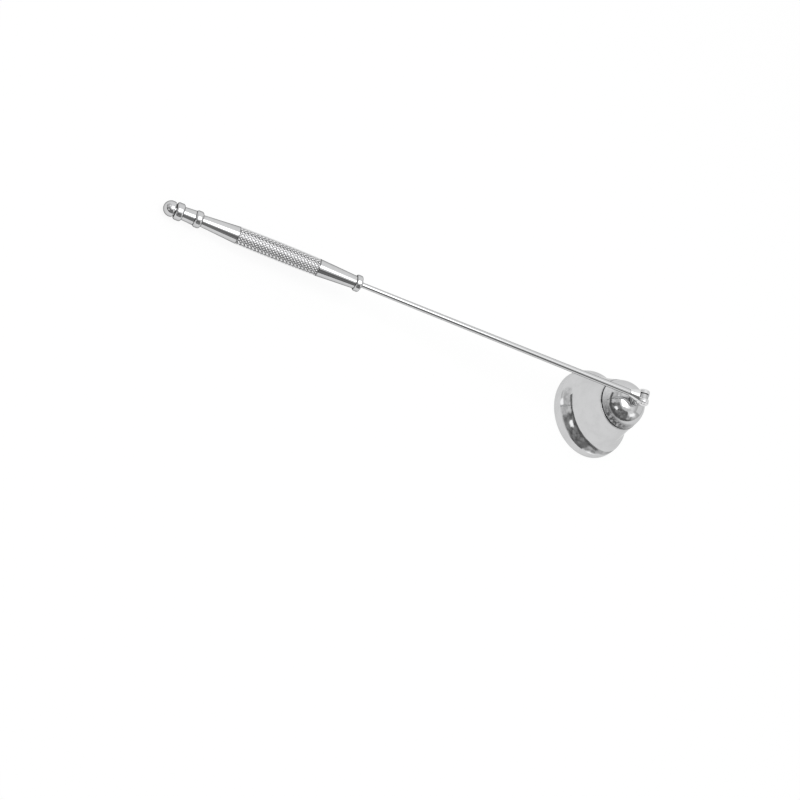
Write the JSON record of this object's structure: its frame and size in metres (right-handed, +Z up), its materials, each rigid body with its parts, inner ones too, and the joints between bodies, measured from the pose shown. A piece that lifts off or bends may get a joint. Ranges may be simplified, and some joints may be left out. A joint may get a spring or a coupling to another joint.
{
  "type": "candle snuffer",
  "caption": "Polished metal candle snuffer: a small bell hinged to the end of a long thin rod, with a diamond-knurled grip, collars and a ball at the handle's end.",
  "frame": {"origin": "middle of the footprint on the table, at the height of the bell's mouth", "axes": "+Z up, along the bell's axis; +X from the handle's ball towards the bell; the hinge pin lies along Y"},
  "size_m": [0.224, 0.038, 0.0363],
  "materials": {
    "polished_bell": "mirror polished plating",
    "polished_fittings": "polished plating, slightly worn at the edges",
    "plain_nut": "plain turned steel",
    "polished_rod": "drawn and polished plating",
    "polished_handle": "turned and polished plating",
    "knurled_handle": "diamond knurled, plated"
  },
  "bodies": {
    "handle": {"rod_fork": "polished_fittings", "hinge_pin": "polished_fittings", "rod": "polished_rod", "front_ring": "polished_handle", "knurled_grip": "knurled_handle", "rear_spindle": "polished_handle", "end_ball": "polished_handle"},
    "bell": {"bell_shell": "polished_bell", "bell_stud": "polished_fittings", "stud_nut": "plain_nut"}
  },
  "joints": [
    {"name": "bell_swing", "type": "hinge", "parent": "handle", "child": "bell", "pos_m": [0.09304, 0, 0.0337], "axis": [0, 1, 0], "range_deg": [-207, 10]}
  ]
}
